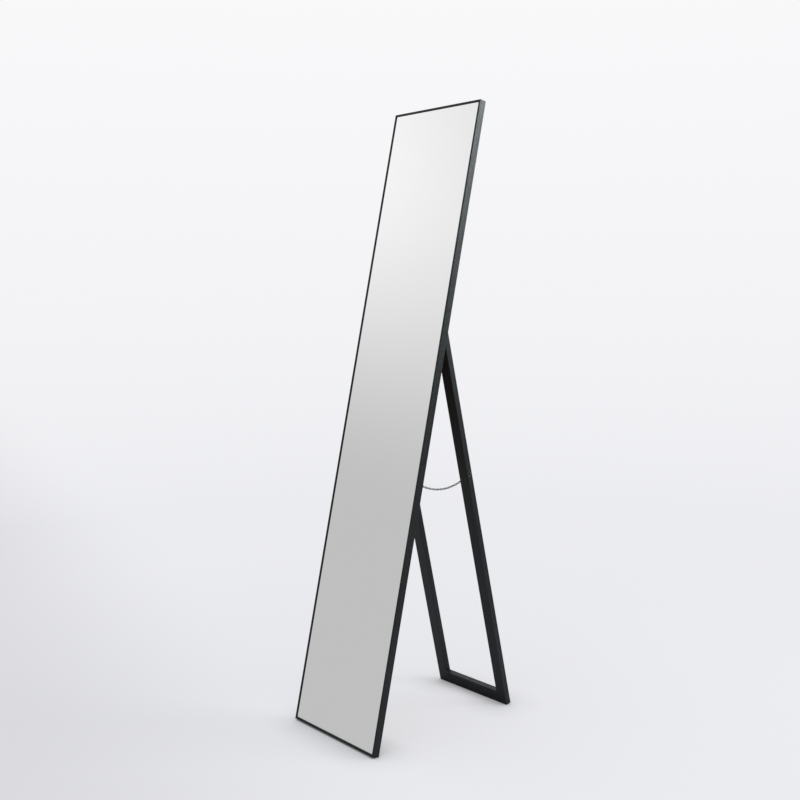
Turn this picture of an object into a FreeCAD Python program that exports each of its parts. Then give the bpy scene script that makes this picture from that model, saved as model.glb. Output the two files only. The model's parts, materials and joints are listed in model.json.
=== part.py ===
"""Leaning floor mirror with a fold-out stand, in millimetres.

The mirror's frame leans back on its lower back edge and the stand leans forward against it on
two butt hinges, so that the two make an A. A slack chain joins the right leg to the frame.

Three sets of axes are used. X runs across the mirror in all of them.
- frame axes: origin at the middle of the frame's lower back edge, Z up along the frame, Y out
  of its back, so the back plane is Y = 0 and the glass faces minus Y.
- stand axes: origin at the middle of the stand's lower front edge, Z up along the legs, Y out
  of the stand's back.
- part axes: origin on the floor under the middle of the whole outline, Z up.
"""
import FreeCAD
import Part
import math
import os
import Sketcher

Vector = FreeCAD.Vector
Rotation = FreeCAD.Rotation
ACROSS = Vector(1, 0, 0)
BACK = Vector(0, 1, 0)
UP = Vector(0, 0, 1)

doc = FreeCAD.newDocument("FloorMirror")

# ---------------------------------------------------------------- sizes
SIZES = {
    # strips of the mirror's frame
    "frame_height": 1500.0,
    "frame_width": 300.0,
    "frame_depth": 18.0,
    "frame_strip_width": 22.0,
    "frame_border": 5.3,                # what is seen of the strips around the glass
    # glass, tape and board, front to back in the rebate
    "glass_recess": 1.7,
    "glass_thickness": 3.0,
    "tape_thickness": 0.8,
    "board_thickness": 3.0,
    "pane_gap": 0.4,
    "tape_width": 14.0,
    "tape_spacing": 90.0,
    "tape_end_gap": 25.0,
    # strips of the stand
    "stand_side_gap": 5.5,              # from either side of the stand to the frame's strips
    "stand_strip_width": 30.0,
    "stand_thickness": 15.0,
    "stand_length": 975.0,              # from the foot up to the hinge pins
    "stand_head": 3.0,                  # from the hinge pins up to the top of the stand
    # how it stands
    "edge_chamfer": 0.6,                # breaks the long edges of all strips
    "hinge_height": 975.0,              # from the frame's lower end up to the hinge pins
    "opening_angle": 25.5,
    # plates driven across the mitres
    "fastener_length": 14.0,
    "fastener_thickness": 0.8,
    "fastener_depth": 6.0,
    # cross rail and its dowels
    "hinge_rail_width": 30.0,
    "dowel_radius": 2.5,
    "dowel_length": 22.0,
    "dowel_spacing": 14.0,
    "dowel_gap": 0.05,
    "dowel_end_gap": 0.5,
    # butt hinges
    "hinge_spacing": 130.0,
    "hinge_length": 30.0,
    "leaf_width": 14.0,
    "leaf_thickness": 1.0,
    "knuckle_radius": 2.0,
    "knuckle_count": 3,
    "knuckle_end_gap": 0.2,
    "knuckle_wood_gap": 0.3,
    "pin_radius": 1.0,
    "pin_gap": 0.05,
    # screws
    "screw_gap": 0.05,
    "screw_end_gap": 0.5,
    "hinge_screw_radius": 1.3,
    "hinge_screw_head_radius": 2.2,
    "hinge_screw_length": 9.0,
    "hinge_screw_spacing": 20.0,
    "hinge_screw_drop": 8.5,
    "chain_screw_radius": 1.6,
    "chain_screw_head_radius": 3.0,
    "chain_screw_head_height": 1.8,
    "chain_screw_bite": 12.0,
    "chain_drop": 358.5,                # from the hinge pins down to either chain screw
    "frame_chain_screw_depth": 4.0,     # in from the frame's back plane
    "stand_chain_screw_depth": 4.5,     # in from the stand's front plane
    # chain
    "link_count": 29,
    "link_pitch": 5.82,
    "link_width": 4.8,
    "link_wire_radius": 0.7,
    "link_play": 0.25,
    "ring_radius": 5.75,
    "ring_wire_radius": 0.8,
    "ring_play": 0.2,
    "ring_side_gap": 0.3,
    "chain_leg_gap": 0.4,
}

# Sizes that follow from those above.
FORMULAS = {
    "rebate_depth": "=glass_recess + glass_thickness + tape_thickness + board_thickness",
    "recess_depth": "=frame_depth - rebate_depth",
    "inner_half_width": "=frame_width / 2 - frame_strip_width",
    "stand_half_width": "=inner_half_width - stand_side_gap",
    "stand_width": "=2 * stand_half_width",
    "stand_height": "=stand_length + stand_head",
    "rail_top": "=hinge_height + stand_head",
    "rail_bottom": "=rail_top - hinge_rail_width",
    "rail_middle": "=rail_top - hinge_rail_width / 2",
    "pin_offset": "=knuckle_radius + knuckle_wood_gap",
    "leaf_face": "=pin_offset - leaf_thickness",
    "knuckle_pitch": "=hinge_length / knuckle_count",
    "frame_screw_height": "=hinge_height - hinge_screw_drop",
    "stand_screw_height": "=stand_length - hinge_screw_drop",
    "chain_plane": "=stand_half_width + chain_leg_gap + link_width / 2",
    "frame_chain_height": "=hinge_height - chain_drop",
    "stand_chain_height": "=stand_length - chain_drop",
    "ring_grip": "=ring_wire_radius + ring_side_gap",
    "frame_screw_reach": "=inner_half_width - chain_plane + ring_grip",
    "stand_screw_reach": "=chain_plane - stand_half_width + ring_grip",
}

sheet = doc.addObject("Spreadsheet::Sheet", "Sizes")
for row, (alias, content) in enumerate({**SIZES, **FORMULAS}.items(), start=1):
    sheet.set("A%d" % row, alias.replace("_", " "))
    sheet.set("B%d" % row, str(content))
    sheet.setAlias("B%d" % row, alias)
doc.recompute()


def size(alias):
    """The number that the sheet holds or works out under this alias."""
    return float(sheet.get(alias))


# ---------------------------------------------------------------- how frame and stand lean
# The frame's edge, the stand's edge and the hinge pin make a triangle on the floor. Each line
# from an edge to the pin runs a little off its wood, by atan(pin_offset / its length).
frame_ray = math.hypot(size("pin_offset"), size("hinge_height"))
stand_ray = math.hypot(size("pin_offset"), size("stand_length"))
frame_ray_angle = math.atan(size("pin_offset") / size("hinge_height"))
stand_ray_angle = math.atan(size("pin_offset") / size("stand_length"))
pin_angle = math.radians(size("opening_angle")) + frame_ray_angle + stand_ray_angle
foot_distance = math.sqrt(frame_ray ** 2 + stand_ray ** 2
                          - 2 * frame_ray * stand_ray * math.cos(pin_angle))
frame_foot_angle = math.acos((frame_ray ** 2 + foot_distance ** 2 - stand_ray ** 2)
                             / (2 * frame_ray * foot_distance))
frame_lean = math.pi / 2 - frame_foot_angle - frame_ray_angle
stand_lean = math.radians(size("opening_angle")) - frame_lean

front_reach = size("frame_depth") * math.cos(frame_lean)
back_reach = foot_distance + size("stand_thickness") * math.cos(stand_lean)
frame_edge_y = (front_reach - back_reach) / 2

FRAME = FreeCAD.Placement(BACK * frame_edge_y, Rotation(ACROSS, -math.degrees(frame_lean)))
STAND = FreeCAD.Placement(BACK * (frame_edge_y + foot_distance),
                          Rotation(ACROSS, math.degrees(stand_lean)))
UNMOVED = FreeCAD.Placement()


def shifted(x, y, z):
    """A placement that moves without turning."""
    return FreeCAD.Placement(Vector(x, y, z), Rotation())


# ---------------------------------------------------------------- drawing helpers
parts = {}


def new_body(label, placement=UNMOVED, exported=True):
    """An empty body; the exported ones become sub-parts."""
    body = doc.addObject("PartDesign::Body", label)
    body.Label = label
    body.Placement = placement
    if exported:
        parts[label] = body
    return body


def new_sketch(body, role, suffix, offset="0"):
    """A sketch on one of the body's own planes, moved out along that plane's normal.

    The normal of XZ_Plane points to minus Y, and that of YZ_Plane to plus X.
    """
    plane = [item for item in body.Origin.OriginFeatures if item.Role == role][0]
    sketch = body.newObject("Sketcher::SketchObject", "%s_%s" % (body.Label, suffix))
    sketch.AttachmentSupport = [(plane, "")]
    sketch.MapMode = "FlatFace"
    sketch.setExpression("AttachmentOffset.Base.z", offset)
    return sketch


def hold(sketch, kind, geometry, point, length):
    """A dimension from the sketch's origin to a point, bound to an expression."""
    number = sketch.addConstraint(Sketcher.Constraint(kind, -1, 1, geometry, point, 1.0))
    sketch.setExpression("Constraints[%d]" % number, length)


def add_outline(sketch, corners):
    """A closed outline, each corner held by its two coordinates."""
    first = sketch.GeometryCount
    count = len(corners)
    turns = [2 * math.pi * step / count for step in range(count)]
    guide = [Vector(math.cos(turn), math.sin(turn), 0) for turn in turns]
    for step in range(count):
        sketch.addGeometry(Part.LineSegment(guide[step], guide[(step + 1) % count]), False)
    for step in range(count):
        following = first + (step + 1) % count
        sketch.addConstraint(Sketcher.Constraint("Coincident", first + step, 2, following, 1))
    for step, (across, along) in enumerate(corners):
        hold(sketch, "DistanceX", first + step, 1, across)
        hold(sketch, "DistanceY", first + step, 1, along)


def add_circle(sketch, across, along, radius):
    """A circle held by its centre and radius."""
    index = sketch.addGeometry(Part.Circle(Vector(1, 1, 0), UP, 1.0), False)
    hold(sketch, "DistanceX", index, 3, across)
    hold(sketch, "DistanceY", index, 3, along)
    number = sketch.addConstraint(Sketcher.Constraint("Radius", index, 1.0))
    sketch.setExpression("Constraints[%d]" % number, radius)


def box_corners(left, bottom, right, top):
    """The four corners of an upright rectangle."""
    return [(left, bottom), (right, bottom), (right, top), (left, top)]


def pad(body, sketch, length, reverse=False):
    """Material along the sketch's normal, or against it when reversed."""
    feature = body.newObject("PartDesign::Pad", sketch.Name + "_pad")
    feature.Profile = sketch
    feature.setExpression("Length", length)
    feature.Reversed = reverse
    doc.recompute()


def check_cut(body, volume_before):
    """A cut that points away from its solid shows no error, so the volume tells."""
    if not body.Shape.Volume < volume_before - 1e-6:
        raise RuntimeError("%s cuts nothing in %s" % (body.Tip.Name, body.Label))


def pocket(body, sketch, length, reverse=False):
    """A cut against the sketch's normal, or along it when reversed."""
    volume_before = body.Shape.Volume
    feature = body.newObject("PartDesign::Pocket", sketch.Name + "_cut")
    feature.Profile = sketch
    feature.setExpression("Length", length)
    feature.Reversed = reverse
    doc.recompute()
    check_cut(body, volume_before)


def placed(shape, placement):
    """A copy of a shape, set down at a placement."""
    copy = shape.copy()
    copy.Placement = placement
    return copy


def new_group(label, shapes, placement=UNMOVED):
    """Like pieces that share one sub-part, as separate solids."""
    feature = doc.addObject("Part::Feature", label)
    feature.Label = label
    feature.Shape = Part.makeCompound(shapes) if len(shapes) > 1 else shapes[0]
    feature.Placement = placement
    parts[label] = feature


# ---------------------------------------------------------------- mitred rectangles of strips
def rectangle_corners(width, height, inset):
    """Corners from lower left round of a rectangle standing on Z = 0, drawn in by an inset."""
    half = "(%s / 2 - %s)" % (width, inset)
    top = "(%s - %s)" % (height, inset)
    return [("-" + half, inset), (half, inset), (half, top), ("-" + half, top)]


def mitred_outline(rectangle, outer_inset, inner_inset, side):
    """One side of a mitred rectangle: 0 bottom, 1 right, 2 top, 3 left."""
    outer = rectangle_corners(*rectangle, outer_inset)
    inner = rectangle_corners(*rectangle, inner_inset)
    following = (side + 1) % 4
    return [outer[side], outer[following], inner[following], inner[side]]


def fastener_outline(rectangle, strip_width, corner):
    """A thin plate, centred on the mitre at one corner and square across it."""
    across, along = rectangle_corners(*rectangle, "(%s / 2)" % strip_width)[corner]
    slope = -1 if corner % 2 == 0 else 1
    reach = "Sizes.fastener_length / sqrt(8)"
    cheek = "Sizes.fastener_thickness / sqrt(8)"
    return [("%s + (%d) * %s + (%d) * %s" % (across, end, reach, -face * slope, cheek),
             "%s + (%d) * %s + (%d) * %s" % (along, end * slope, reach, face, cheek))
            for end, face in ((-1, -1), (1, -1), (1, 1), (-1, 1))]


def cut_fastener_slots(body, rectangle, strip_width, back, side):
    """The slots that the corner plates fill, at both ends of one strip."""
    sketch = new_sketch(body, "XZ_Plane", "slots", "-%s" % back)
    for corner in (side, (side + 1) % 4):
        add_outline(sketch, fastener_outline(rectangle, strip_width, corner))
    pocket(body, sketch, "Sizes.fastener_depth", reverse=True)


def make_corner_fasteners(label, rectangle, strip_width, back, placement):
    """Four steel plates, driven in from the back across the mitres."""
    plates = []
    for corner in range(4):
        body = new_body("%s_%d" % (label, corner), exported=False)
        sketch = new_sketch(body, "XZ_Plane", "outline", "-%s" % back)
        add_outline(sketch, fastener_outline(rectangle, strip_width, corner))
        pad(body, sketch, "Sizes.fastener_depth")
        plates.append(body.Shape.copy())
    new_group(label, plates, placement)


def chamfer_long_edges(body, side, planes):
    """Breaks the edges that run the strip's whole length in these planes square to Y.

    The edges that stand on the floor stay as they were sawn.
    """
    along = UP if side % 2 else ACROSS
    base = body.Tip
    chosen = []
    for number, edge in enumerate(body.Shape.Edges, start=1):
        start, end = [body.Placement.inverse().multVec(vertex.Point) for vertex in edge.Vertexes]
        run = end - start
        in_plane = any(abs(start.y - plane) < 1e-6 and abs(end.y - plane) < 1e-6
                       for plane in planes)
        lengthwise = run.Length > 3 * size("stand_strip_width") and run.cross(along).Length < 1e-6
        if in_plane and lengthwise and max(start.z, end.z) > 1e-6:
            chosen.append("Edge%d" % number)
    feature = body.newObject("PartDesign::Chamfer", body.Label + "_edges")
    feature.Base = (base, chosen)
    feature.setExpression("Size", "Sizes.edge_chamfer")
    volume_before = body.Shape.Volume
    doc.recompute()
    check_cut(body, volume_before)


# ---------------------------------------------------------------- mirror frame
FRAME_SIDES = ("frame_bottom_rail", "frame_right_stile", "frame_top_rail", "frame_left_stile")
FRAME_RECTANGLE = ("Sizes.frame_width", "Sizes.frame_height")
FRAME_STRIP = "Sizes.frame_strip_width"


def make_frame_strip(side):
    """A strip with mitred ends and a rebate along its inner front edge."""
    body = new_body(FRAME_SIDES[side], FRAME)
    sketch = new_sketch(body, "XZ_Plane", "strip")
    add_outline(sketch, mitred_outline(FRAME_RECTANGLE, "0", FRAME_STRIP, side))
    pad(body, sketch, "Sizes.frame_depth")
    sketch = new_sketch(body, "XZ_Plane", "rebate", "Sizes.frame_depth")
    add_outline(sketch, mitred_outline(FRAME_RECTANGLE, "Sizes.frame_border", FRAME_STRIP, side))
    pocket(body, sketch, "Sizes.rebate_depth")
    chamfer_long_edges(body, side, (-size("frame_depth"), 0))
    cut_fastener_slots(body, FRAME_RECTANGLE, FRAME_STRIP, "0", side)
    return body


def make_pane(label, front, thickness):
    """A sheet that lies in the rebate, its front this far behind the face of the frame."""
    body = new_body(label, FRAME)
    sketch = new_sketch(body, "XZ_Plane", "outline", "Sizes.frame_depth - (%s)" % front)
    add_outline(sketch, rectangle_corners(*FRAME_RECTANGLE,
                                          "(Sizes.frame_border + Sizes.pane_gap)"))
    pad(body, sketch, thickness, reverse=True)


def make_glass_tape():
    """Three upright strips of foam tape between the glass and the board."""
    end = "(Sizes.frame_border + Sizes.tape_end_gap)"
    strips = []
    for step in (-1, 0, 1):
        body = new_body("tape_strip_%d" % (step + 1), exported=False)
        sketch = new_sketch(body, "XZ_Plane", "outline",
                            "Sizes.frame_depth - Sizes.glass_recess - Sizes.glass_thickness")
        middle = "(%d) * Sizes.tape_spacing" % step
        add_outline(sketch, box_corners(middle + " - Sizes.tape_width / 2", end,
                                        middle + " + Sizes.tape_width / 2",
                                        "Sizes.frame_height - " + end))
        pad(body, sketch, "Sizes.tape_thickness", reverse=True)
        strips.append(body.Shape.copy())
    new_group("glass_tape_strips", strips, FRAME)


def drill_across(body, suffix, face, middles, radius, depth, towards_plus):
    """Round holes along X from a face at this X, at (Y, Z) middles."""
    sketch = new_sketch(body, "YZ_Plane", suffix, face)
    for y, z in middles:
        add_circle(sketch, y, z, radius)
    pocket(body, sketch, depth, reverse=towards_plus)


def cut_dowel_holes(body, side, into_rail):
    """Two blind holes for the dowels at the joint between the cross rail and one stile."""
    middles = [("-Sizes.recess_depth / 2", "Sizes.rail_middle + (%d) * Sizes.dowel_spacing / 2"
                % step) for step in (-1, 1)]
    drill_across(body, "dowel_holes_%s" % ("left" if side < 0 else "right"),
                 "(%d) * Sizes.inner_half_width" % side, middles,
                 "Sizes.dowel_radius + Sizes.dowel_gap",
                 "Sizes.dowel_length / 2 + Sizes.dowel_end_gap",
                 towards_plus=(side < 0) == into_rail)


def cut_hinge_screw_holes(body, height, wood_side):
    """Pilot holes for both hinges in a wooden rail; wood_side is the drill's way along Y."""
    sketch = new_sketch(body, "XZ_Plane", "hinge_pilots")
    for side in (-1, 1):
        for step in (-1, 1):
            add_circle(sketch, "(%d) * Sizes.hinge_spacing / 2 + (%d) * Sizes.hinge_screw_spacing / 2"
                       % (side, step), height, "Sizes.hinge_screw_radius + Sizes.screw_gap")
    pocket(body, sketch,
           "Sizes.hinge_screw_length - Sizes.leaf_thickness + Sizes.screw_end_gap",
           reverse=wood_side < 0)


def make_hinge_rail():
    """The cross rail in the recess, flush with the frame's back, that carries the hinges."""
    body = new_body("hinge_rail", FRAME)
    sketch = new_sketch(body, "XZ_Plane", "strip")
    add_outline(sketch, box_corners("-Sizes.inner_half_width", "Sizes.rail_bottom",
                                    "Sizes.inner_half_width", "Sizes.rail_top"))
    pad(body, sketch, "Sizes.recess_depth")
    cut_dowel_holes(body, -1, into_rail=True)
    cut_dowel_holes(body, 1, into_rail=True)
    cut_hinge_screw_holes(body, "Sizes.frame_screw_height", wood_side=-1)


def make_hinge_rail_dowels():
    """Round pegs, half in the rail and half in the stiles."""
    master = doc.addObject("Part::Cylinder", "dowel")
    master.setExpression("Radius", "Sizes.dowel_radius")
    master.setExpression("Height", "Sizes.dowel_length")
    doc.recompute()
    pegs = []
    for side in (-1, 1):
        for step in (-0.5, 0.5):
            start = Vector(side * size("inner_half_width") - size("dowel_length") / 2,
                           -size("recess_depth") / 2,
                           size("rail_middle") + step * size("dowel_spacing"))
            pegs.append(placed(master.Shape, FreeCAD.Placement(start, Rotation(UP, ACROSS))))
    new_group("hinge_rail_dowels", pegs, FRAME)


# ---------------------------------------------------------------- stand
STAND_SIDES = ("stand_foot_rail", "stand_right_leg", "stand_top_rail", "stand_left_leg")
STAND_RECTANGLE = ("Sizes.stand_width", "Sizes.stand_height")
STAND_STRIP = "Sizes.stand_strip_width"


def make_stand_strip(side):
    """A flat strip with mitred ends."""
    body = new_body(STAND_SIDES[side], STAND)
    sketch = new_sketch(body, "XZ_Plane", "strip")
    add_outline(sketch, mitred_outline(STAND_RECTANGLE, "0", STAND_STRIP, side))
    pad(body, sketch, "Sizes.stand_thickness", reverse=True)
    chamfer_long_edges(body, side, (0, size("stand_thickness")))
    cut_fastener_slots(body, STAND_RECTANGLE, STAND_STRIP, "Sizes.stand_thickness", side)
    return body


# ---------------------------------------------------------------- butt hinges
def make_leaf(label, wood_side, placement):
    """A leaf with its knuckles, in axes at the pin: X along the pin, Y square to the leaf.

    wood_side is -1 for the frame's leaf, screwed to wood on its minus Y side, and 1 for the
    stand's. The frame's leaf has the first knuckle in the row and every second one after it.
    """
    body = new_body(label, placement)
    sketch = new_sketch(body, "XZ_Plane", "leaf", "(%d) * Sizes.pin_offset" % -wood_side)
    add_outline(sketch, box_corners("-Sizes.hinge_length / 2", "-Sizes.leaf_width",
                                    "Sizes.hinge_length / 2", "0"))
    pad(body, sketch, "Sizes.leaf_thickness", reverse=wood_side < 0)

    sketch = new_sketch(body, "YZ_Plane", "barrel", "-Sizes.hinge_length / 2")
    add_circle(sketch, "0", "0", "Sizes.knuckle_radius")
    pad(body, sketch, "Sizes.hinge_length")
    drill_across(body, "bore", "-Sizes.hinge_length / 2", [("0", "0")],
                 "Sizes.pin_radius + Sizes.pin_gap", "Sizes.hinge_length", towards_plus=True)

    sketch = new_sketch(body, "XZ_Plane", "notches", "-2 * Sizes.pin_offset")
    first_notch = 1 if wood_side < 0 else 0
    for number in range(first_notch, int(size("knuckle_count")), 2):
        start = "(%d * Sizes.knuckle_pitch - Sizes.hinge_length / 2)" % number
        add_outline(sketch, box_corners(
            start + " - Sizes.knuckle_end_gap / 2", "-Sizes.pin_offset",
            start + " + Sizes.knuckle_pitch + Sizes.knuckle_end_gap / 2", "Sizes.pin_offset"))
    pocket(body, sketch, "4 * Sizes.pin_offset", reverse=True)

    sketch = new_sketch(body, "XZ_Plane", "screw_spots", "(%d) * Sizes.leaf_face" % -wood_side)
    for step in (-1, 1):
        add_circle(sketch, "(%d) * Sizes.hinge_screw_spacing / 2" % step,
                   "-Sizes.hinge_screw_drop", "Sizes.hinge_screw_radius")
    doc.recompute()
    volume_before = body.Shape.Volume
    hole = body.newObject("PartDesign::Hole", label + "_screw_holes")
    hole.Profile = sketch
    hole.Threaded = False
    hole.DepthType = "ThroughAll"
    hole.HoleCutType = "Countersink"
    hole.HoleCutCountersinkAngle = 90
    hole.Reversed = wood_side < 0
    hole.setExpression("Diameter", "2 * (Sizes.hinge_screw_radius + Sizes.screw_gap)")
    hole.setExpression("HoleCutDiameter", "2 * (Sizes.hinge_screw_head_radius + Sizes.screw_gap)")
    doc.recompute()
    check_cut(body, volume_before)


def make_hinge_pin(label, placement):
    """A plain pin as long as the hinge."""
    pin = doc.addObject("Part::Cylinder", label)
    pin.Label = label
    pin.setExpression("Radius", "Sizes.pin_radius")
    pin.setExpression("Height", "Sizes.hinge_length")
    pin.Placement = placement.multiply(FreeCAD.Placement(
        ACROSS * (-size("hinge_length") / 2), Rotation(UP, ACROSS)))
    parts[label] = pin


def make_hinge(name, side):
    """A leaf on the frame's cross rail, a leaf on the stand's top rail, and the pin."""
    across = side * size("hinge_spacing") / 2
    on_frame = FRAME.multiply(shifted(across, size("pin_offset"), size("hinge_height")))
    on_stand = STAND.multiply(shifted(across, -size("pin_offset"), size("stand_length")))
    make_leaf(name + "_hinge_frame_leaf", -1, on_frame)
    make_leaf(name + "_hinge_stand_leaf", 1, on_stand)
    make_hinge_pin(name + "_hinge_pin", on_frame)


# ---------------------------------------------------------------- screws
def make_turned(label, outline, placement=UNMOVED, exported=True):
    """A solid turned about Z from half outlines, given as (radius, height)."""
    body = new_body(label, placement, exported)
    sketch = new_sketch(body, "XZ_Plane", "half")
    add_outline(sketch, outline)
    turn = body.newObject("PartDesign::Revolution", label + "_turn")
    turn.Profile = sketch
    turn.ReferenceAxis = (sketch, ["V_Axis"])
    turn.Angle = 360
    doc.recompute()
    return body


def make_hinge_screws(label, master, wood_side, height, placement):
    """Four countersunk screws, their heads flush with the leaves of both hinges."""
    screws = []
    for side in (-1, 1):
        for step in (-1, 1):
            across = side * size("hinge_spacing") / 2 + step * size("hinge_screw_spacing") / 2
            spot = Vector(across, -wood_side * size("leaf_thickness"), height)
            screws.append(placed(master, FreeCAD.Placement(spot, Rotation(UP, BACK * -wood_side))))
    new_group(label, screws, placement)


def make_chain_screw(label, reach, placement):
    """A round-headed screw along Z: the wood's face is Z = 0 and the head stands above it."""
    radius = "Sizes.chain_screw_radius"
    head = "Sizes.chain_screw_head_radius"
    rise = "Sizes.chain_screw_head_height"
    point = "Sizes.chain_screw_bite"
    make_turned(label, [
        ("0", "-" + point), (radius, "%s - %s" % (radius, point)), (radius, reach),
        (head, reach), (head, "%s + 0.4 * %s" % (reach, rise)),
        ("0.7 * " + head, "%s + 0.9 * %s" % (reach, rise)), ("0", "%s + %s" % (reach, rise)),
    ], placement)


# ---------------------------------------------------------------- chain
WIRE_SIDES = 8
LINK_END_STEPS = 4
RING_STEPS = 16
RUN_ENDS = (7, 15, 22)      # the links after which a new run starts


def bent_wire(corners, radius):
    """A closed wire of eight-sided section with mitred bends, lying in the XY plane."""
    start = (corners[0] + corners[-1]) / 2
    along = (corners[0] - start).normalize()
    side = UP.cross(along)
    section = []
    for step in range(WIRE_SIDES + 1):
        turn = 2 * math.pi * (step + 0.5) / WIRE_SIDES
        section.append(start + UP * (radius * math.cos(turn)) + side * (radius * math.sin(turn)))
    sweep = Part.BRepOffsetAPI.MakePipeShell(Part.makePolygon([start] + corners + [start]))
    sweep.setTransitionMode(1)
    sweep.add(Part.makePolygon(section), False, False)
    sweep.build()
    sweep.makeSolid()
    return sweep.shape()


def link_shape():
    """A long link: two straight sides and two round ends, its length along X."""
    bend = size("link_width") / 2 - size("link_wire_radius")
    length_on_wire = size("link_pitch") + size("link_play") + 2 * size("link_wire_radius")
    straight = length_on_wire / 2 - bend
    corners = []
    for end in (1, -1):
        for step in range(LINK_END_STEPS + 1):
            turn = math.pi * (step / LINK_END_STEPS - 0.5)
            corners.append(Vector(end * (straight + bend * math.cos(turn)),
                                  end * bend * math.sin(turn), 0))
    return bent_wire(corners, size("link_wire_radius"))


def ring_shape():
    """A round ring in the XY plane."""
    bend = size("ring_radius") - size("ring_wire_radius")
    turns = [2 * math.pi * step / RING_STEPS for step in range(RING_STEPS)]
    return bent_wire([Vector(bend * math.cos(turn), bend * math.sin(turn), 0) for turn in turns],
                     size("ring_wire_radius"))


def hanging_slopes(steps, span, rise):
    """Slopes of a chain of straight steps that hangs between two points.

    In a chain that hangs still, the tangent of the slope grows evenly along its length. The
    lowest place and the tightness are found by halving, so that the steps add up to the span
    and the rise between the two ends.
    """
    middles = [sum(steps[:index]) + step / 2 for index, step in enumerate(steps)]
    total = sum(steps)

    def slopes_for(tightness, lowest):
        return [math.atan((middle - lowest) / tightness) for middle in middles]

    def lowest_for(tightness):
        low, high = -total, 2 * total
        for _ in range(60):
            lowest = (low + high) / 2
            slopes = slopes_for(tightness, lowest)
            if sum(step * math.sin(slope) for step, slope in zip(steps, slopes)) > rise:
                low = lowest
            else:
                high = lowest
        return lowest

    loose, tight = total / 1000, total * 1000
    for _ in range(60):
        tightness = math.sqrt(loose * tight)
        slopes = slopes_for(tightness, lowest_for(tightness))
        if sum(step * math.cos(slope) for step, slope in zip(steps, slopes)) < span:
            loose = tightness
        else:
            tight = tightness
    return slopes


def along_chain(slope, standing):
    """The turn of a link that follows the chain at this slope, flat or on its edge."""
    roll = Rotation(ACROSS, 90 if standing else 0)
    return Rotation(ACROSS, math.degrees(slope)).multiply(Rotation(UP, 90)).multiply(roll)


def make_chain(frame_axis, stand_axis):
    """Both end rings and all links, hung between the axes of the two chain screws.

    Odd links lie flat and even ones stand on edge, so the wire at either end of a flat link is
    a hinge across the chain. Returns the slopes and the two hinges between stiff runs of links.
    """
    wire = size("link_wire_radius")
    play = size("link_play")
    inside = size("ring_radius") - 2 * size("ring_wire_radius")
    ring_shift = inside - size("chain_screw_radius") - size("ring_play")
    reach = ring_shift + inside - wire - size("ring_play") + wire + play / 2
    pitch = size("link_pitch")
    count = int(size("link_count"))
    steps = [reach] + [pitch] * count + [reach]
    slopes = hanging_slopes(steps, stand_axis.y - frame_axis.y, stand_axis.z - frame_axis.z)

    def way(slope):
        return Vector(0, math.cos(slope), math.sin(slope))

    ring = ring_shape()
    link = link_shape()
    for label, axis, slope, shift in (("frame_chain_ring", frame_axis, slopes[0], ring_shift),
                                      ("stand_chain_ring", stand_axis, slopes[-1], -ring_shift)):
        new_group(label, [ring], FreeCAD.Placement(axis + way(slope) * shift,
                                                   along_chain(slope, True)))
    end_wire = (pitch + play) / 2 + wire
    runs = [[]]
    hinges = []
    joint = frame_axis + way(slopes[0]) * reach
    for number, slope in enumerate(slopes[1:-1], start=1):
        middle = joint + way(slope) * (pitch / 2)
        runs[-1].append(placed(link, FreeCAD.Placement(
            middle, along_chain(slope, standing=number % 2 == 0))))
        joint = joint + way(slope) * pitch
        if number in RUN_ENDS:
            runs.append([])
        if number == RUN_ENDS[0]:
            hinges.append(middle + way(slope) * end_wire)
        if number == RUN_ENDS[2] + 1:
            hinges.append(middle - way(slope) * end_wire)
    labels = ("chain_frame_end_links", "chain_frame_middle_links",
              "chain_stand_middle_links", "chain_stand_end_links")
    for label, run in zip(labels, runs):
        new_group(label, run)
    print("chain: %d links, %.1f mm from screw to screw, %.1f mm apart"
          % (count, sum(steps), (stand_axis - frame_axis).Length))
    return slopes, hinges


# ---------------------------------------------------------------- the whole mirror
strips = [make_frame_strip(side) for side in range(4)]
right_stile, left_stile = strips[1], strips[3]
make_corner_fasteners("frame_corner_fasteners", FRAME_RECTANGLE, FRAME_STRIP, "0", FRAME)
make_pane("mirror_glass", "Sizes.glass_recess", "Sizes.glass_thickness")
make_glass_tape()
make_pane("backing_board", "Sizes.rebate_depth - Sizes.board_thickness", "Sizes.board_thickness")
make_hinge_rail()
cut_dowel_holes(left_stile, -1, into_rail=False)
cut_dowel_holes(right_stile, 1, into_rail=False)
make_hinge_rail_dowels()

stand_strips = [make_stand_strip(side) for side in range(4)]
right_leg, stand_top_rail = stand_strips[1], stand_strips[2]
make_corner_fasteners("stand_corner_fasteners", STAND_RECTANGLE, STAND_STRIP,
                      "Sizes.stand_thickness", STAND)
cut_hinge_screw_holes(stand_top_rail, "Sizes.stand_screw_height", wood_side=1)

for hinge_name, hinge_side in (("left", -1), ("right", 1)):
    make_hinge(hinge_name, hinge_side)
hinge_screw = make_turned("hinge_screw", [
    ("0", "0"), ("Sizes.hinge_screw_head_radius", "0"),
    ("Sizes.hinge_screw_radius", "Sizes.hinge_screw_radius - Sizes.hinge_screw_head_radius"),
    ("Sizes.hinge_screw_radius", "Sizes.hinge_screw_radius - Sizes.hinge_screw_length"),
    ("0", "-Sizes.hinge_screw_length")], exported=False)
make_hinge_screws("frame_hinge_screws", hinge_screw.Shape, -1, size("frame_screw_height"), FRAME)
make_hinge_screws("stand_hinge_screws", hinge_screw.Shape, 1, size("stand_screw_height"), STAND)

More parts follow.
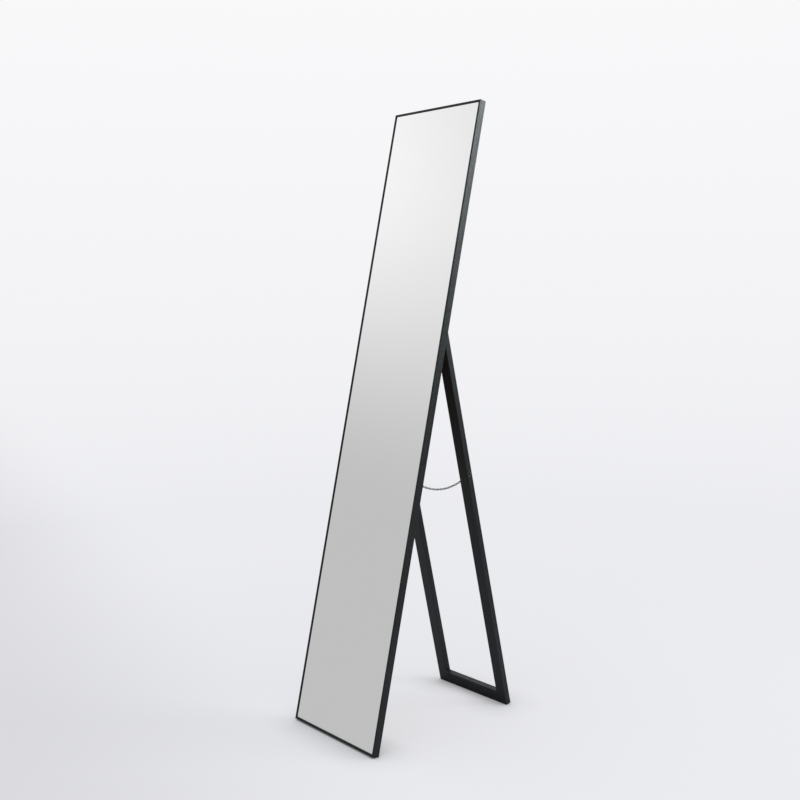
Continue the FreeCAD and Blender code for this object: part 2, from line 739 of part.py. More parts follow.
frame_screw_spot = Vector(size("inner_half_width"), -size("frame_chain_screw_depth"),
                          size("frame_chain_height"))
stand_screw_spot = Vector(size("stand_half_width"), size("stand_chain_screw_depth"),
                          size("stand_chain_height"))
make_chain_screw("frame_chain_screw", "Sizes.frame_screw_reach", FRAME.multiply(
    FreeCAD.Placement(frame_screw_spot, Rotation(UP, -ACROSS))))
make_chain_screw("stand_chain_screw", "Sizes.stand_screw_reach", STAND.multiply(
    FreeCAD.Placement(stand_screw_spot, Rotation(UP, ACROSS))))
CHAIN_PILOT = ("Sizes.chain_screw_radius + Sizes.screw_gap",
               "Sizes.chain_screw_bite + Sizes.screw_end_gap")
drill_across(right_stile, "chain_pilot", "Sizes.inner_half_width",
             [("-Sizes.frame_chain_screw_depth", "Sizes.frame_chain_height")],
             *CHAIN_PILOT, towards_plus=True)
drill_across(right_leg, "chain_pilot", "Sizes.stand_half_width",
             [("Sizes.stand_chain_screw_depth", "Sizes.stand_chain_height")],
             *CHAIN_PILOT, towards_plus=False)

frame_axis = FRAME.multVec(frame_screw_spot)
stand_axis = STAND.multVec(stand_screw_spot)
frame_axis.x = size("chain_plane")
stand_axis.x = size("chain_plane")
chain_slopes, chain_hinges = make_chain(frame_axis, stand_axis)

# ---------------------------------------------------------------- test and write
doc.recompute()
for item in doc.Objects:
    if "Invalid" in item.State or "Error" in item.State:
        raise RuntimeError("%s failed: %s" % (item.Name, item.State))
for label, item in parts.items():
    if item.Shape.isNull() or not item.Shape.isValid() or not item.Shape.Solids:
        raise RuntimeError(label + " has no good shape")

os.makedirs("parts", exist_ok=True)
for label, item in parts.items():
    item.Shape.exportStep(os.path.join("parts", label + ".step"))


def report(name, point):
    print("%-22s y %9.3f  z %9.3f" % (name, point.y, point.z))


print("%d sub-parts" % len(parts))
print("frame leans %.3f, stand leans %.3f degrees, feet %.1f mm apart"
      % (math.degrees(frame_lean), math.degrees(stand_lean), foot_distance))
report("hinge pins", FRAME.multVec(Vector(0, size("pin_offset"), size("hinge_height"))))
report("frame chain screw", frame_axis)
report("stand chain screw", stand_axis)
report("hinge in frame half", chain_hinges[0])
report("hinge in stand half", chain_hinges[1])
print("chain slopes " + " ".join("%.1f" % math.degrees(slope) for slope in chain_slopes))
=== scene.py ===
"""Leaning floor mirror on its folding stand: camera, studio, finishes and the chain's round wire.

Lengths are in metres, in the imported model's axes: X across the mirror, +Y behind it, Z up.
"""
import json
import math

import bpy
import numpy as np
from mathutils import Matrix, Vector


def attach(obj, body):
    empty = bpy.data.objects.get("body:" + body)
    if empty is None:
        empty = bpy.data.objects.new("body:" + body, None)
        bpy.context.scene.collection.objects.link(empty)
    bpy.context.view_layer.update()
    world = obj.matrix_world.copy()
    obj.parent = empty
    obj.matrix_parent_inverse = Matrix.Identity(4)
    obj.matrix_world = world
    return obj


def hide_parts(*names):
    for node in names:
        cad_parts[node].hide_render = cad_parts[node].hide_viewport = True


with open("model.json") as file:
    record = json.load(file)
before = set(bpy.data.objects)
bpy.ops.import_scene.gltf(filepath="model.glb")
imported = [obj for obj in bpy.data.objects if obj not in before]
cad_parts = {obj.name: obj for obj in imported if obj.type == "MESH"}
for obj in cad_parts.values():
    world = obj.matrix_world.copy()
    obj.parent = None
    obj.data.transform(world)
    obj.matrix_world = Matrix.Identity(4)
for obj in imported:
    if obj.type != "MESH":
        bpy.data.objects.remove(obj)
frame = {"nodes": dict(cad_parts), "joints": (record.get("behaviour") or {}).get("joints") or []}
nodes = frame["nodes"]
joints = {joint["name"]: joint for joint in frame["joints"]}
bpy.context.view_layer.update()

# ------------------------------------------------------------------ camera
# The photograph is taken from the mirror's front right, a little above the middle of its height,
# with a normal lens. The roll is the small tilt that the picture has.
PICTURE = 800               # the picture's width and height, in pixels
FOCAL_PIXELS = 1092.5
SENSOR_WIDTH = 36.0         # in millimetres, as Blender gives its lenses
CLIP_NEAR = 0.05
CLIP_FAR = 100.0
CAMERA_PLACE = Vector((1.9682, -1.6906, 1.0405))
CAMERA_TURN = math.radians(49.691)
CAMERA_DOWN = math.radians(5.862)
CAMERA_ROLL = math.radians(-0.349)

camera_data = bpy.data.cameras.new("photo_camera")
camera_data.sensor_width = SENSOR_WIDTH
camera_data.lens = SENSOR_WIDTH * FOCAL_PIXELS / PICTURE
camera_data.clip_start = CLIP_NEAR
camera_data.clip_end = CLIP_FAR
camera = bpy.data.objects.new("photo_camera", camera_data)
camera.matrix_world = (Matrix.Translation(CAMERA_PLACE)
                       @ Matrix.Rotation(CAMERA_TURN, 4, "Z")
                       @ Matrix.Rotation(math.pi / 2 - CAMERA_DOWN, 4, "X")
                       @ Matrix.Rotation(CAMERA_ROLL, 4, "Z"))
bpy.context.scene.collection.objects.link(camera)
bpy.context.scene.camera = camera
bpy.context.scene.view_settings.view_transform = "Standard"

# ------------------------------------------------------------------ studio
# A white seamless room. What the camera sees of it is a pale grey that brightens upwards. What
# glossy surfaces see is dimmer low down and to the right, as the photograph's mirror shows it,
# and has a bright panel behind on the right that lights the upper edge of the frame.
ROOM_LOW = (0.900, 0.900, 0.925)
ROOM_HIGH = (0.945, 0.945, 0.955)
ROOM_RISE = (0.0, 0.25)             # from low to high, by how far a direction points up
ROOM_LIGHT = 0.82
ROOM_LIGHT_COLOUR = (0.985, 0.99, 1.0)
MIRRORED_LOW = 0.56
MIRRORED_LEFT = 1.05
MIRRORED_RIGHT = 0.80
MIRRORED_RISE = (0.083, 0.394)
MIRRORED_SIDES = (-0.80, -0.68)     # from left to right, by how far a direction points along X
PANEL_WAY = (0.700, 0.640, 0.318)
PANEL_LEVEL = 12.0
PANEL_EDGE = (0.953, 0.990)         # the cosine of the angle from the middle of the panel


def join(tree, *steps):
    """Joins shader nodes: each step is a node, its output, another node and its input."""
    for source, output, target, entry in steps:
        tree.links.new(source.outputs[output], target.inputs[entry])


def add(tree, kind, name=None, operation=None, **inputs):
    """A new shader node with its input values, given by socket name with _ for a space."""
    node = tree.nodes.new("ShaderNode" + kind)
    if name:
        node.name = name
    if operation:
        node.operation = operation
    for entry, value in inputs.items():
        node.inputs[entry.replace("_", " ")].default_value = value
    return node


def spread(tree, source, output, span, onto=(0.0, 1.0), soft=False):
    """The source's value, with the span spread onto another one and held at its ends."""
    node = add(tree, "MapRange", From_Min=span[0], From_Max=span[1], To_Min=onto[0], To_Max=onto[1])
    if soft:
        node.interpolation_type = "SMOOTHSTEP"
    tree.links.new(source.outputs[output], node.inputs["Value"])
    return node


def blended(tree, source, output, low, high):
    """A colour between low and high, by the source's 0 to 1; both may also be colour sockets."""
    node = add(tree, "Mix")
    node.data_type = "RGBA"
    tree.links.new(source.outputs[output], node.inputs["Factor"])
    for socket, colour in ((node.inputs["A"], low), (node.inputs["B"], high)):
        if isinstance(colour, tuple):
            socket.default_value = (*colour, 1)
        else:
            tree.links.new(colour, socket)
    return node


world = bpy.data.worlds.new("studio")
world.use_nodes = True
bpy.context.scene.world = world
tree = world.node_tree
tree.nodes.clear()
where = add(tree, "TexCoord")
way = add(tree, "SeparateXYZ")
path = add(tree, "LightPath")
light = add(tree, "Background", "light", Color=(*ROOM_LIGHT_COLOUR, 1), Strength=ROOM_LIGHT)
seen = add(tree, "Background", "seen")
mirrored = add(tree, "Background", "mirrored")
glossy_or_not = add(tree, "MixShader")
camera_or_not = add(tree, "MixShader")
out = add(tree, "OutputWorld")
join(tree, (where, "Generated", way, "Vector"))
up = spread(tree, way, "Z", ROOM_RISE)
room = blended(tree, up, "Result", ROOM_LOW, ROOM_HIGH)
aside = spread(tree, way, "X", MIRRORED_SIDES)
bright = blended(tree, aside, "Result", (MIRRORED_LEFT,) * 3, (MIRRORED_RIGHT,) * 3)
rise = spread(tree, way, "Z", MIRRORED_RISE, soft=True)
front = blended(tree, rise, "Result", (MIRRORED_LOW,) * 3, bright.outputs["Result"])
panel_way = add(tree, "VectorMath", operation="DOT_PRODUCT")
panel_way.inputs[1].default_value = PANEL_WAY
join(tree, (where, "Generated", panel_way, 0))
panel = spread(tree, panel_way, "Value", PANEL_EDGE, soft=True)
around = blended(tree, panel, "Result", front.outputs["Result"], (PANEL_LEVEL,) * 3)
join(tree,
     (room, "Result", seen, "Color"), (around, "Result", mirrored, "Color"),
     (path, "Is Glossy Ray", glossy_or_not, 0), (light, 0, glossy_or_not, 1),
     (mirrored, 0, glossy_or_not, 2), (path, "Is Camera Ray", camera_or_not, 0),
     (glossy_or_not, 0, camera_or_not, 1), (seen, 0, camera_or_not, 2),
     (camera_or_not, 0, out, "Surface"))


def softbox(name, place, aim, width, height, watts):
    """A rectangular lamp at a place, turned towards another point."""
    lamp = bpy.data.lights.new(name, "AREA")
    lamp.shape = "RECTANGLE"
    lamp.size = width
    lamp.size_y = height
    lamp.energy = watts
    towards = (Vector(aim) - Vector(place)).to_track_quat("-Z", "Y")
    box = bpy.data.objects.new(name, lamp)
    box.matrix_world = Matrix.Translation(place) @ towards.to_matrix().to_4x4()
    bpy.context.scene.collection.objects.link(box)


softbox("back_right_softbox", place=(2.5, 2.4, 2.30), aim=(0, 0, 0.9), width=1.6, height=1.2,
        watts=40)
softbox("top_softbox", place=(0.2, 0.2, 3.4), aim=(0, 0, 0.5), width=2.8, height=2.8, watts=12)

# ------------------------------------------------------------------ studio floor
# The floor is white and catches the shadows, which a glow from within keeps soft. Far from the
# mirror it fades into the room, and at the picture's lower left a painted shade makes it a little
# darker. Glossy surfaces see its shadows behind the mirror and the dim room in front of it.
FLOOR_HALF = 80.0
FLOOR_COLOUR = (0.800, 0.803, 0.830)
# the floor's colour under the painted shade at the picture's lower left
FLOOR_PAINTED_SHADE = (0.690, 0.690, 0.718)
PICTURE_LEFT = (-0.304, -1.054, 0.0)    # the way across the floor to the picture's lower left
PAINTED_SHADE_REACH = (0.15, 1.15)               # how far along that way the painted shade comes in
GLOW_NEAR = (0.833, 0.836, 0.866)
# the glow's colour under that painted shade
GLOW_PAINTED_SHADE = (0.722, 0.722, 0.752)
GLOW_SHARE = 0.60
GLOW_REACH = (0.4, 1.8)                 # the distance over which the glow takes over
GLOW_NEARNESS = (0.0, 0.37)             # one over the distance, from the room's colour to the glow
CONTACT_SHADE_REACH = 0.10                    # how far from a piece the glow is dimmed, a painted contact shade
CONTACT_SHADE_SAMPLES = 6
MIRRORED_SHADE = 0.30                    # the share of the paint's colour taken away for glossy surfaces, a painted shade in reflections
LOSS_SIDE = (0.17, 0.11)                # the X over which it does, at the mirror's right edge
MIRRORED_REACH = (0.5, 1.3)             # the distance over which the mirrored floor turns dim
MIRRORED_FRONT = (-0.22, -0.32)         # the Y over which it does, just in front of the mirror

corners = FLOOR_HALF * np.array([(-1, -1, 0), (1, -1, 0), (1, 1, 0), (-1, 1, 0)])
floor_mesh = bpy.data.meshes.new("studio_floor")
floor_mesh.from_pydata(corners.tolist(), [], [(0, 1, 2, 3)])
floor = bpy.data.objects.new("studio_floor", floor_mesh)
bpy.context.scene.collection.objects.link(floor)
material = bpy.data.materials.new("studio_floor")
material.use_nodes = True
tree = material.node_tree
tree.nodes.clear()
where = add(tree, "TexCoord")
path = add(tree, "LightPath")
far = add(tree, "VectorMath", operation="LENGTH")
across = add(tree, "VectorMath", operation="DOT_PRODUCT")
across.inputs[1].default_value = PICTURE_LEFT
near = add(tree, "Math", operation="DIVIDE")
near.inputs[0].default_value = 1.0
spot = add(tree, "SeparateXYZ")
join(tree, (where, "Object", far, 0), (where, "Object", across, 0), (far, "Value", near, 1),
     (where, "Object", spot, "Vector"))

# the paint, with a painted shade towards the picture's lower left, and for glossy surfaces a
# painted shade in reflections to the left of the mirror's right edge
left = spread(tree, across, "Value", PAINTED_SHADE_REACH, soft=True)
paint_and_shade_colour = blended(tree, left, "Result", FLOOR_COLOUR, FLOOR_PAINTED_SHADE)
under = spread(tree, spot, "X", LOSS_SIDE, (0.0, MIRRORED_SHADE))
reflection_shade = add(tree, "Math", operation="MULTIPLY")
join(tree, (under, "Result", reflection_shade, 0), (path, "Is Glossy Ray", reflection_shade, 1))
kept = blended(tree, reflection_shade, 0, paint_and_shade_colour.outputs["Result"], (0.0, 0.0, 0.0))
paint = add(tree, "BsdfDiffuse")

# the glow, dimmed beside a piece as a painted contact shade and fading into the room's colour far
# away
glow_colour = blended(tree, left, "Result", GLOW_NEAR, GLOW_PAINTED_SHADE)
nearness = spread(tree, near, "Value", GLOW_NEARNESS)
distant = blended(tree, nearness, "Result", ROOM_LOW, glow_colour.outputs["Result"])
contact_shade = add(tree, "AmbientOcclusion", Distance=CONTACT_SHADE_REACH)
contact_shade.samples = CONTACT_SHADE_SAMPLES
glow = add(tree, "Emission", "glow")

# the glow's share of what is seen, and none of it for glossy surfaces
fade = spread(tree, far, "Value", GLOW_REACH, (GLOW_SHARE, 1.0), soft=True)
not_glossy = add(tree, "Math", operation="SUBTRACT")
not_glossy.inputs[0].default_value = 1.0
glowing = add(tree, "Math", operation="MULTIPLY")
faded = add(tree, "MixShader")

# the dim room that glossy surfaces see instead, in front of the mirror and far from it
beyond = spread(tree, far, "Value", MIRRORED_REACH, soft=True)
in_front = spread(tree, spot, "Y", MIRRORED_FRONT)
dim = add(tree, "Math", operation="MAXIMUM")
dim_seen = add(tree, "Math", operation="MULTIPLY")
mirrored = add(tree, "Emission", "mirrored", Color=(MIRRORED_LOW,) * 3 + (1,))
glossy = add(tree, "MixShader")
out = add(tree, "OutputMaterial")
join(tree,
     (kept, "Result", paint, "Color"), (distant, "Result", contact_shade, "Color"),
     (contact_shade, "Color", glow, "Color"), (path, "Is Glossy Ray", not_glossy, 1),
     (not_glossy, 0, glowing, 0), (fade, "Result", glowing, 1),
     (glowing, 0, faded, 0), (paint, 0, faded, 1), (glow, 0, faded, 2),
     (beyond, "Result", dim, 0), (in_front, "Result", dim, 1),
     (path, "Is Glossy Ray", dim_seen, 0), (dim, 0, dim_seen, 1),
     (dim_seen, 0, glossy, 0), (faded, 0, glossy, 1), (mirrored, 0, glossy, 2),
     (glossy, 0, out, "Surface"))
floor_mesh.materials.append(material)

# ------------------------------------------------------------------ black wood
# Mitred strips of hardwood, stained black and varnished to a satin sheen. The pores of the grain
# run along each strip, so each direction of strip has its own turn of the pattern.
WOOD_COLOUR = (0.0028, 0.0030, 0.0042)
WOOD_PORE_COLOUR = (0.0010, 0.0011, 0.0015)
# lighter on rubbed edges: worn stain together with a painted edge sheen
WOOD_RUBBED_SHEEN_COLOUR = (0.030, 0.028, 0.027)
WOOD_DUST_COLOUR = (0.20, 0.20, 0.20)
WOOD_ROUGHNESS = 0.34
WOOD_ROUGHNESS_WANDER = 0.06
WOOD_GLOSS = 0.28
WOOD_SHEEN_TINT = (0.86, 0.97, 1.0)
PORE_SCALE = 1400.0         # across the grain
PORE_STRETCH = 0.02         # the scale along the grain, as a share of that
PORE_CUT = (0.40, 0.60)     # the noise from where a pore is black to where the wood is sound
PORE_STRENGTH = 0.22
PORE_DEPTH = 0.0002
BAND_SCALE = 90.0
RUBBED_EDGE = 0.0007
RUBBED_TURN = (0.985, 0.80) # the cosine between the real and a rounded surface, at an edge
RUBBED_SAMPLES = 4
PATCH_SCALE = 45.0
PATCH_CUT = (0.42, 0.68)
SCUFF_HEIGHT = 0.035        # above the floor
SCUFF_SCALE = 420.0
SCUFF_CUT = (0.62, 0.68)
DUST_SHARE = 0.10
DUST_FACING = (0.80, 1.0)   # how far a surface faces up, from bare to dusty
DUST_SCALE = 60.0
DUST_CUT = (0.35, 0.65)
MOST_NOISE = (0.3, 0.7)     # nearly all of a noise pattern lies between these
LEAN = math.radians(12.75)  # of the mirror's frame and of the stand, from upright


def new_group(name, entries, exits):
    """An empty shader group with sockets given as (name, kind, value)."""
    group = bpy.data.node_groups.new(name, "ShaderNodeTree")
    for label, kind, value in entries:
        socket = group.interface.new_socket(label, in_out="INPUT", socket_type=kind)
        if value is not None:
            socket.default_value = value
    for label, kind in exits:
        group.interface.new_socket(label, in_out="OUTPUT", socket_type=kind)
    return group, group.nodes.new("NodeGroupInput"), group.nodes.new("NodeGroupOutput")


def make_grain_group():
    """Wood grain: fine long pores along X and broad soft bands, both from stretched noise."""
    group, start, end = new_group(
        "long_grain",
        [("Vector", "NodeSocketVector", None), ("Pores", "NodeSocketFloat", PORE_SCALE),
         ("Length", "NodeSocketFloat", PORE_STRETCH)],
        [("Pores", "NodeSocketFloat"), ("Bands", "NodeSocketFloat")])
    stretch = add(group, "VectorMath", operation="MULTIPLY")
    along = add(group, "CombineXYZ", Y=1.0, Z=1.0)
    pores = add(group, "TexNoise", Detail=3.0)
    bands = add(group, "TexNoise", Scale=BAND_SCALE, Detail=2.0)
    sharp = spread(group, pores, "Fac", PORE_CUT, soft=True)
    join(group,
         (start, "Length", along, "X"), (start, "Vector", stretch, 0),
         (along, "Vector", stretch, 1), (stretch, "Vector", pores, "Vector"),
         (start, "Pores", pores, "Scale"), (stretch, "Vector", bands, "Vector"),
         (bands, "Fac", end, "Bands"), (sharp, "Result", end, "Pores"))
    return group


def make_wear_group():
    """Where a finish is rubbed: along its edges, in patches, and in specks near the floor."""
    group, start, end = new_group(
        "rubbed_places",
        [("Vector", "NodeSocketVector", None), ("Edge", "NodeSocketFloat", RUBBED_EDGE)],
        [("Mask", "NodeSocketFloat")])
    rounded = add(group, "Bevel")
    rounded.samples = RUBBED_SAMPLES
    flat = add(group, "NewGeometry")
    alike = add(group, "VectorMath", operation="DOT_PRODUCT")
    cloud = add(group, "TexNoise", Scale=PATCH_SCALE, Detail=5.0, Roughness=0.65)
    specks = add(group, "TexNoise", Scale=SCUFF_SCALE, Detail=3.0)
    height = add(group, "SeparateXYZ")
    join(group,
         (start, "Edge", rounded, "Radius"), (rounded, "Normal", alike, 0),
         (flat, "Normal", alike, 1), (start, "Vector", cloud, "Vector"),
         (start, "Vector", specks, "Vector"), (start, "Vector", height, "Vector"))
    edges = spread(group, alike, "Value", RUBBED_TURN)
    patches = spread(group, cloud, "Fac", PATCH_CUT, soft=True)
    chips = spread(group, specks, "Fac", SCUFF_CUT)
    low = spread(group, height, "Z", (SCUFF_HEIGHT, 0.0))
    rub = add(group, "Math", operation="MULTIPLY")
    scuffs = add(group, "Math", operation="MULTIPLY")
    either = add(group, "Math", operation="MAXIMUM")
    join(group,
         (edges, "Result", rub, 0), (patches, "Result", rub, 1),
         (low, "Result", scuffs, 0), (chips, "Result", scuffs, 1),
         (rub, 0, either, 0), (scuffs, 0, either, 1), (either, 0, end, "Mask"))
    return group


grain_group = make_grain_group()
wear_group = make_wear_group()


def new_finish(name):
    """A new material with its tree of nodes and the shader in it."""
    material = bpy.data.materials.new(name)
    material.use_nodes = True
    return material, material.node_tree, material.node_tree.nodes["Principled BSDF"]


def add_group(tree, group):
    """A shader node that stands for a group."""
    node = add(tree, "Group")
    node.node_tree = group
    return node


def black_wood(name, turn):
    """Satin black stain over grain that runs along X before the pattern is turned.

    Pores are darker and lower than the wood between them. The stain is rubbed thin in places
    along the edges, where the lighter colour is also a painted sheen, and a little dust lies where
    the surface faces up.
    """
    material, tree, shader = new_finish(name)
    shader.inputs["Specular IOR Level"].default_value = WOOD_GLOSS
    shader.inputs["Specular Tint"].default_value = (*WOOD_SHEEN_TINT, 1)
    where = add(tree, "TexCoord")
    turned = add(tree, "Mapping", Rotation=turn)
    turned.vector_type = "TEXTURE"
    grain = add_group(tree, grain_group)
    wear = add_group(tree, wear_group)
    facing = add(tree, "SeparateXYZ")
    dust_cloud = add(tree, "TexNoise", Scale=DUST_SCALE, Detail=4.0)
    join(tree,
         (where, "Object", turned, "Vector"), (turned, "Vector", grain, "Vector"),
         (where, "Object", wear, "Vector"), (where, "Normal", facing, "Vector"),
         (where, "Object", dust_cloud, "Vector"))
    stained = blended(tree, grain, "Pores", WOOD_PORE_COLOUR, WOOD_COLOUR)
    # rubbed edges: worn stain and a painted sheen along the edges, in one lighter colour
    rubbed = blended(tree, wear, "Mask", stained.outputs["Result"], WOOD_RUBBED_SHEEN_COLOUR)
    upward = spread(tree, facing, "Z", DUST_FACING, (0.0, DUST_SHARE))
    cloudy = spread(tree, dust_cloud, "Fac", DUST_CUT)
    dust = add(tree, "Math", operation="MULTIPLY")
    join(tree, (upward, "Result", dust, 0), (cloudy, "Result", dust, 1))
    dusty = blended(tree, dust, 0, rubbed.outputs["Result"], WOOD_DUST_COLOUR)
    gloss = spread(tree, grain, "Bands", MOST_NOISE,
                   (WOOD_ROUGHNESS - WOOD_ROUGHNESS_WANDER, WOOD_ROUGHNESS + WOOD_ROUGHNESS_WANDER))
    relief = add(tree, "Bump", Strength=PORE_STRENGTH, Distance=PORE_DEPTH)
    join(tree,
         (dusty, "Result", shader, "Base Color"), (gloss, "Result", shader, "Roughness"),
         (grain, "Pores", relief, "Height"), (relief, "Normal", shader, "Normal"))
    return material


def upright_turn(lean):
    """The turn of a pattern whose X then runs up a strip that leans by this much about X."""
    return (Matrix.Rotation(lean, 3, "X") @ Matrix.Rotation(-math.pi / 2, 3, "Y")).to_euler()


def dress(finish, *fittings):
    """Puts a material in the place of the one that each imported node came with."""
    for node in fittings:
        nodes[node].data.materials.clear()
        nodes[node].data.materials.append(finish)


dress(black_wood("black_wood_frame_uprights", upright_turn(-LEAN)),
      "frame_left_stile", "frame_right_stile")
dress(black_wood("black_wood_frame_rails", (-LEAN, 0, 0)),
      "frame_top_rail", "frame_bottom_rail", "hinge_rail")
dress(black_wood("black_wood_stand_uprights", upright_turn(LEAN)),
      "stand_left_leg", "stand_right_leg")
dress(black_wood("black_wood_stand_rails", (LEAN, 0, 0)),
      "stand_foot_rail", "stand_top_rail")

# ------------------------------------------------------------------ mirror glass
# Silvered float glass, 3 mm thick and glued on its board. It is as flat as float glass is, with
# the faintest haze of wiping on it.
SILVER_LOW = (0.925, 0.930, 0.925)
SILVER_HIGH = (0.935, 0.940, 0.935)
HAZE_SCALE = 6.0
HAZE_CUT = (0.35, 0.75)
HAZE_ROUGHNESS = 0.02

material, tree, shader = new_finish("silvered_glass")
shader.inputs["Metallic"].default_value = 1.0
where = add(tree, "TexCoord")
haze = add(tree, "TexNoise", Scale=HAZE_SCALE, Detail=4.0)
join(tree, (where, "Object", haze, "Vector"))
silver = blended(tree, haze, "Fac", SILVER_LOW, SILVER_HIGH)
film = spread(tree, haze, "Fac", HAZE_CUT, (0.0, HAZE_ROUGHNESS))
join(tree, (silver, "Result", shader, "Base Color"), (film, "Result", shader, "Roughness"))
dress(material, "mirror_glass")

# ------------------------------------------------------------------ hidden back
# Behind the glass are strips of white foam tape and a smooth brown fibre board. Beech dowels
# hold the hinge rail between the frame's uprights.
SPECKLED_WANDER = 0.06
SPECKLED_DEPTH = 0.0003


def speckled(name, dark, light, scale, roughness, bump):
    """A matt material whose colour wanders between two shades in fine specks."""
    material, tree, shader = new_finish(name)
    where = add(tree, "TexCoord")
    specks = add(tree, "TexNoise", Scale=scale, Detail=6.0, Roughness=0.7)
    join(tree, (where, "Object", specks, "Vector"))
    colour = blended(tree, specks, "Fac", dark, light)
    gloss = spread(tree, specks, "Fac", MOST_NOISE,
                   (roughness + SPECKLED_WANDER, roughness - SPECKLED_WANDER))
    relief = add(tree, "Bump", Strength=bump, Distance=SPECKLED_DEPTH)
    join(tree,
         (colour, "Result", shader, "Base Color"), (gloss, "Result", shader, "Roughness"),
         (specks, "Fac", relief, "Height"), (relief, "Normal", shader, "Normal"))
    return material


dress(speckled("fibre_board", dark=(0.105, 0.062, 0.034), light=(0.190, 0.120, 0.070),
               scale=300.0, roughness=0.62, bump=0.3), "backing_board")
dress(speckled("foam_tape", dark=(0.55, 0.55, 0.53), light=(0.75, 0.75, 0.72),
               scale=900.0, roughness=0.9, bump=0.5), "glass_tape_strips")
dress(speckled("beech", dark=(0.42, 0.27, 0.15), light=(0.60, 0.42, 0.26),
               scale=500.0, roughness=0.6, bump=0.3), "hinge_rail_dowels")

# ------------------------------------------------------------------ metal fittings
# Hinges and screws are blacked steel, bare and brighter where they are rubbed. The corner
# plates, which nobody sees, are plain rolled steel.
STEEL_WANDER = 0.08
STEEL_STRENGTH = 0.10
STEEL_DEPTH = 0.0001
STEEL_EDGE = 0.0002
STEEL_SHINE = 0.5
BARE_STEEL = (0.22, 0.22, 0.23)


def steel(name, dark, light, metallic, roughness, scale, bare=BARE_STEEL, edge=STEEL_EDGE,
          shine=STEEL_SHINE):
    """Steel whose colour and gloss wander a little, with a bare colour on its rubbed edges."""
    material, tree, shader = new_finish(name)
    shader.inputs["Specular IOR Level"].default_value = shine
    where = add(tree, "TexCoord")
    cloud = add(tree, "TexNoise", Scale=scale, Detail=4.0)
    wear = add_group(tree, wear_group)
    wear.inputs["Edge"].default_value = edge
    join(tree, (where, "Object", cloud, "Vector"), (where, "Object", wear, "Vector"))
    colour = blended(tree, cloud, "Fac", dark, light)
    rubbed = blended(tree, wear, "Mask", colour.outputs["Result"], bare)
    metal = spread(tree, wear, "Mask", (0.0, 1.0), (metallic, 1.0))
    gloss = spread(tree, cloud, "Fac", MOST_NOISE,
                   (roughness - STEEL_WANDER, roughness + STEEL_WANDER))
    relief = add(tree, "Bump", Strength=STEEL_STRENGTH, Distance=STEEL_DEPTH)
    join(tree,
         (rubbed, "Result", shader, "Base Color"), (metal, "Result", shader, "Metallic"),
         (gloss, "Result", shader, "Roughness"), (cloud, "Fac", relief, "Height"),
         (relief, "Normal", shader, "Normal"))
    return material


dress(steel("hinge_steel", dark=(0.012, 0.012, 0.013), light=(0.028, 0.028, 0.030),
            metallic=0.45, roughness=0.36, scale=700.0),
      "left_hinge_frame_leaf", "right_hinge_frame_leaf", "left_hinge_stand_leaf",
      "right_hinge_stand_leaf", "left_hinge_pin", "right_hinge_pin")
dress(steel("black_steel", dark=(0.003, 0.003, 0.0035), light=(0.008, 0.008, 0.009),
            metallic=0.0, roughness=0.30, scale=900.0),
      "frame_hinge_screws", "stand_hinge_screws", "frame_chain_screw", "stand_chain_screw")
dress(steel("plain_steel", dark=(0.40, 0.40, 0.41), light=(0.60, 0.60, 0.60),
            metallic=1.0, roughness=0.40, scale=600.0, bare=(0.70, 0.70, 0.70)),
      "frame_corner_fasteners", "stand_corner_fasteners")

# ------------------------------------------------------------------ chain
# Long links of blacked round wire, every second one on edge, hang slack between two end rings
# on the chain screws. Each run of links rides the body that carries it when the stand folds.
LINK_COUNT = 29
LINK_PITCH = 0.00582
LINK_BEND = 0.0017          # from a link's middle line to the middle of the wire at its ends
LINK_WIRE = 0.00067
LINK_PLAY = 0.00025
PACKED_WIRE = 0.0007        # to the corners of the eight-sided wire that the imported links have
RING_BEND = 0.00495
RING_WIRE = 0.00077
RING_SHIFT = 0.00235        # from a screw's axis to the middle of its ring
REACH = 0.006425            # from a screw's axis to where the first link starts
WIRE_SIDES = 12
BEND_STEPS = 12
RING_STEPS = 36
TIGHTNESSES = (0.1, 10.0)   # the table's ends, as shares of the chain's length
TIGHTNESS_STEPS = 4001
THIN_EDGE = 0.00001         # too narrow for round wire to count as an edge
CHAIN_SHINE = 0.15
CHAIN_RUNS = (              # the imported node, its body, and its first and last link
    ("chain_frame_end_links", "chain_frame_end", 1, 7),
    ("chain_frame_middle_links", "chain_frame_middle", 8, 15),
    ("chain_stand_middle_links", "chain_stand_middle", 16, 22),
    ("chain_stand_end_links", "chain_stand_end", 23, 29))

chain_steel = steel("chain_steel", dark=(0.002, 0.002, 0.0025), light=(0.006, 0.006, 0.007),
                    metallic=0.0, roughness=0.34, scale=900.0, bare=(0.05, 0.05, 0.05),
                    edge=THIN_EDGE, shine=CHAIN_SHINE)
ring_steel = steel("ring_steel", dark=(0.05, 0.05, 0.055), light=(0.12, 0.12, 0.125),
                   metallic=0.9, roughness=0.24, scale=900.0, edge=THIN_EDGE)


def wire_loop(turn, shift, bend, wire):
    """Points and faces of a closed loop of round wire in the XY plane.

    At each turn t the wire's middle is shift * X + bend * u, where u = (cos t, sin t, 0), and
    the skin around it is that middle + wire * (cos a * u + sin a * Z) for all a.
    """
    outward = np.stack([np.cos(turn), np.sin(turn), 0 * turn], axis=1)
    middle = bend * outward + np.outer(shift, (1, 0, 0))
    around = np.arange(WIRE_SIDES) * 2 * np.pi / WIRE_SIDES
    skin = (np.cos(around)[None, :, None] * outward[:, None, :]
            + np.sin(around)[None, :, None] * np.array((0, 0, 1)))
    points = (middle[:, None, :] + wire * skin).reshape(-1, 3)
    row, side = np.indices((len(turn), WIRE_SIDES))
    next_row, next_side = (row + 1) % len(turn), (side + 1) % WIRE_SIDES
    faces = np.stack([row * WIRE_SIDES + side, next_row * WIRE_SIDES + side,
                      next_row * WIRE_SIDES + next_side, row * WIRE_SIDES + next_side], axis=-1)
    return points, faces.reshape(-1, 4)


